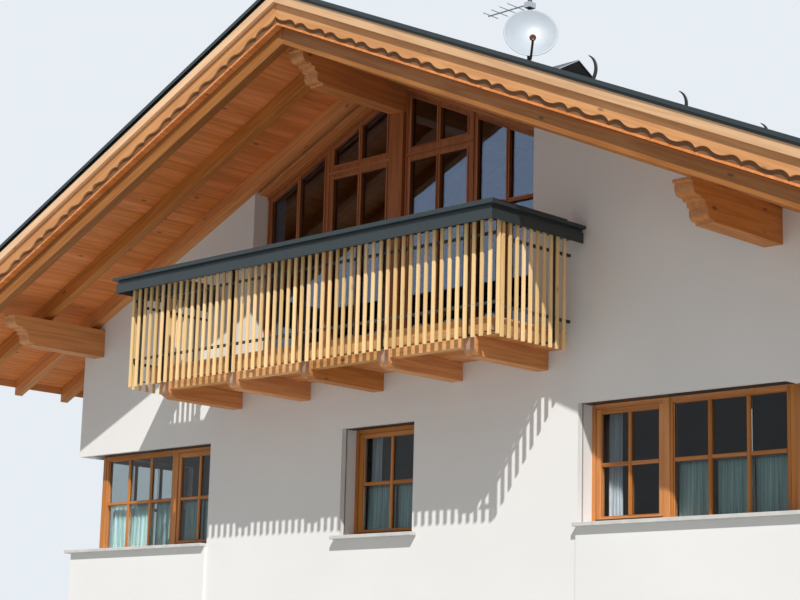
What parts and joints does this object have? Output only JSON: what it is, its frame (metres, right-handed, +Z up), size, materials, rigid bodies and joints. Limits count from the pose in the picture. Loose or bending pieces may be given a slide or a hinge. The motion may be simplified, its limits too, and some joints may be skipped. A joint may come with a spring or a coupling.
{
  "type": "alpine chalet",
  "caption": "Rendered alpine house with a wide purlin roof, scalloped verge boards, a glazed gable and a slatted balcony with a flower trough.",
  "frame": {"origin": "on the ground at the centre of the roof's plan", "axes": "+Z up, +Y along the ridge away from the balcony gable, +X to the right of someone who faces that gable"},
  "size_m": [14.172, 15.636, 10.36],
  "materials": {
    "concrete": "plain concrete",
    "render": "fine white render",
    "sill_stone": "honed light stone",
    "window_wood": "stained red-brown timber",
    "window_glass": "clear sealed units",
    "curtain_cloth": "thin pale cloth",
    "structural_wood": "oiled larch and spruce timber",
    "soffit_wood": "oiled spruce boards",
    "verge_wood": "light larch board",
    "scallop_wood": "orange larch board",
    "slat_wood": "light larch slats",
    "roof_metal": "anthracite blue sheet",
    "black_steel": "black coated steel",
    "dish_white": "pale grey coated sheet"
  },
  "bodies": {
    "root": {"ground_slab": "concrete", "upper_floors": "concrete", "front_wall": "render", "back_wall": "render", "left_wall": "render", "right_wall": "render", "chimney": "render", "window_sills": "sill_stone", "corner_windows": "window_wood", "casement_windows": "window_wood", "gable_window_frame": "window_wood", "gable_post": "window_wood", "entrance_door": "window_wood", "corner_glass": "window_glass", "window_glass": "window_glass", "gable_glass": "window_glass", "half_curtains": "curtain_cloth", "long_curtains": "curtain_cloth", "ridge_purlin": "structural_wood", "eaves_purlins": "structural_wood", "rafters": "structural_wood", "soffit": "soffit_wood", "roof_deck": "structural_wood", "roof_covering": "roof_metal", "ridge_cap": "roof_metal", "verge_boards": "verge_wood", "scalloped_boards": "scallop_wood", "verge_flashing": "roof_metal", "eaves_boards": "structural_wood", "gutters": "roof_metal", "snow_guard_hooks": "black_steel", "snow_guard_logs": "structural_wood", "chimney_cap": "black_steel", "satellite_dish": "dish_white", "feed_arm": "black_steel", "dish_mast": "black_steel", "aerial": "dish_white", "balcony_beams": "structural_wood", "balcony_rim": "structural_wood", "balcony_deck": "structural_wood", "balcony_posts": "black_steel", "balcony_rails": "black_steel", "balcony_slats_front": "slat_wood", "balcony_slats_sides": "slat_wood", "flower_trough": "roof_metal"}
  },
  "joints": []
}
